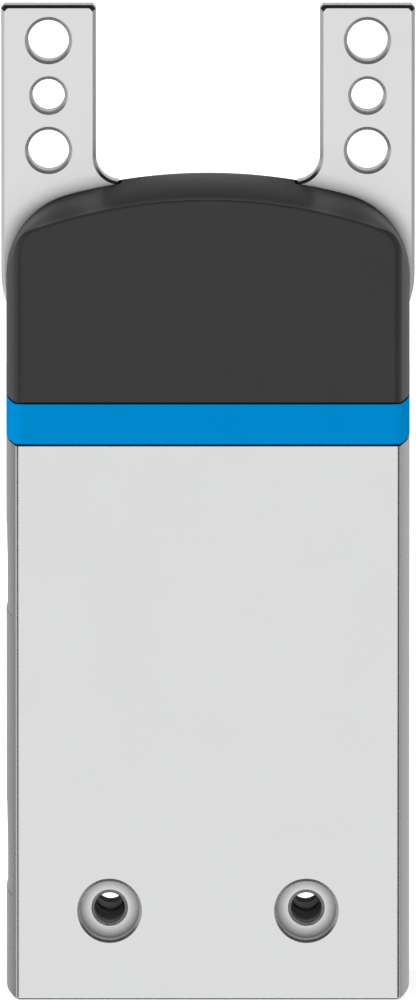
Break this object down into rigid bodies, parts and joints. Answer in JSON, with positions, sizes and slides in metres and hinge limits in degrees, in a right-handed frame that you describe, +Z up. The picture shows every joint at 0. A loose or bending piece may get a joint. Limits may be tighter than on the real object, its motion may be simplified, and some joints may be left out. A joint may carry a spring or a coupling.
{
  "type": "pneumatic gripper",
  "caption": "Double-acting air-driven radial gripper: flat jaws with drilled fixing holes swing outward from upright, on a slim rectangular cylinder body.",
  "frame": {"origin": "middle of the flat underside of the housing", "axes": "+Z up along the piston's axis towards the jaws, X across the width from the left jaw to the right jaw, the front mounting face looks along -Y"},
  "size_m": [0.0454, 0.03, 0.1085],
  "materials": {
    "anodised_aluminium": "fine bead-blasted and clear anodised, satin",
    "blue_plastic": "moulded, satin",
    "dark_plastic": "moulded with a fine matt texture",
    "machined_aluminium": "turned and milled, satin",
    "jaw_steel": "fine ground faces with small chamfers",
    "ground_steel": "ground and polished",
    "hardened_steel": "hardened, dark satin",
    "sliding_plastic": "plain bearing polymer, matt",
    "black_rubber": "moulded, matt",
    "magnet": "plastic-bonded magnet ring, matt",
    "insert_brass": "turned, knurled outside"
  },
  "bodies": {
    "body": {"housing": "anodised_aluminium", "spacer_band": "blue_plastic", "cover": "dark_plastic", "bearing_block": "machined_aluminium", "pivot_bush_left_front": "sliding_plastic", "tie_screw_left_front": "hardened_steel", "cover_insert_left_front": "insert_brass", "pivot_bush_left_rear": "sliding_plastic", "tie_screw_left_rear": "hardened_steel", "cover_insert_left_rear": "insert_brass", "pivot_bush_right_front": "sliding_plastic", "tie_screw_right_front": "hardened_steel", "cover_insert_right_front": "insert_brass", "pivot_bush_right_rear": "sliding_plastic", "tie_screw_right_rear": "hardened_steel", "cover_insert_right_rear": "insert_brass", "lower_bumper": "black_rubber", "upper_bumper": "black_rubber", "rod_guide": "machined_aluminium", "rod_bush": "sliding_plastic", "rod_seal": "black_rubber", "rod_guide_oring": "black_rubber", "retaining_ring": "hardened_steel", "dowel_pin_left": "ground_steel", "dowel_pin_right": "ground_steel"},
    "piston": {"crosshead": "hardened_steel", "left_driver_pin": "ground_steel", "right_driver_pin": "ground_steel", "left_driver_roller": "ground_steel", "right_driver_roller": "ground_steel", "piston_rod": "ground_steel", "piston": "machined_aluminium", "piston_nut": "hardened_steel", "piston_seal_lower": "black_rubber", "piston_seal_upper": "black_rubber", "piston_guide_ring": "sliding_plastic", "piston_magnet": "magnet"},
    "left_jaw": {"left_jaw": "jaw_steel", "left_pivot_pin": "ground_steel"},
    "right_jaw": {"right_jaw": "jaw_steel", "right_pivot_pin": "ground_steel"}
  },
  "joints": [
    {"name": "piston_slide", "type": "slide", "parent": "body", "child": "piston", "axis": [0, 0, 1], "range_m": [0, 0.0075]},
    {"name": "left_jaw_swing", "type": "hinge", "parent": "body", "child": "left_jaw", "pos_m": [-0.013, 0, 0.079], "axis": [0, -1, 0], "range_deg": [0, 90]},
    {"name": "right_jaw_swing", "type": "hinge", "parent": "body", "child": "right_jaw", "pos_m": [0.013, 0, 0.079], "axis": [0, 1, 0], "range_deg": [0, 90]}
  ],
  "couplings": [
    {"joint": "left_jaw_swing", "follows": "piston_slide", "rad_per_m": 209.44},
    {"joint": "right_jaw_swing", "follows": "piston_slide", "rad_per_m": 209.44}
  ]
}
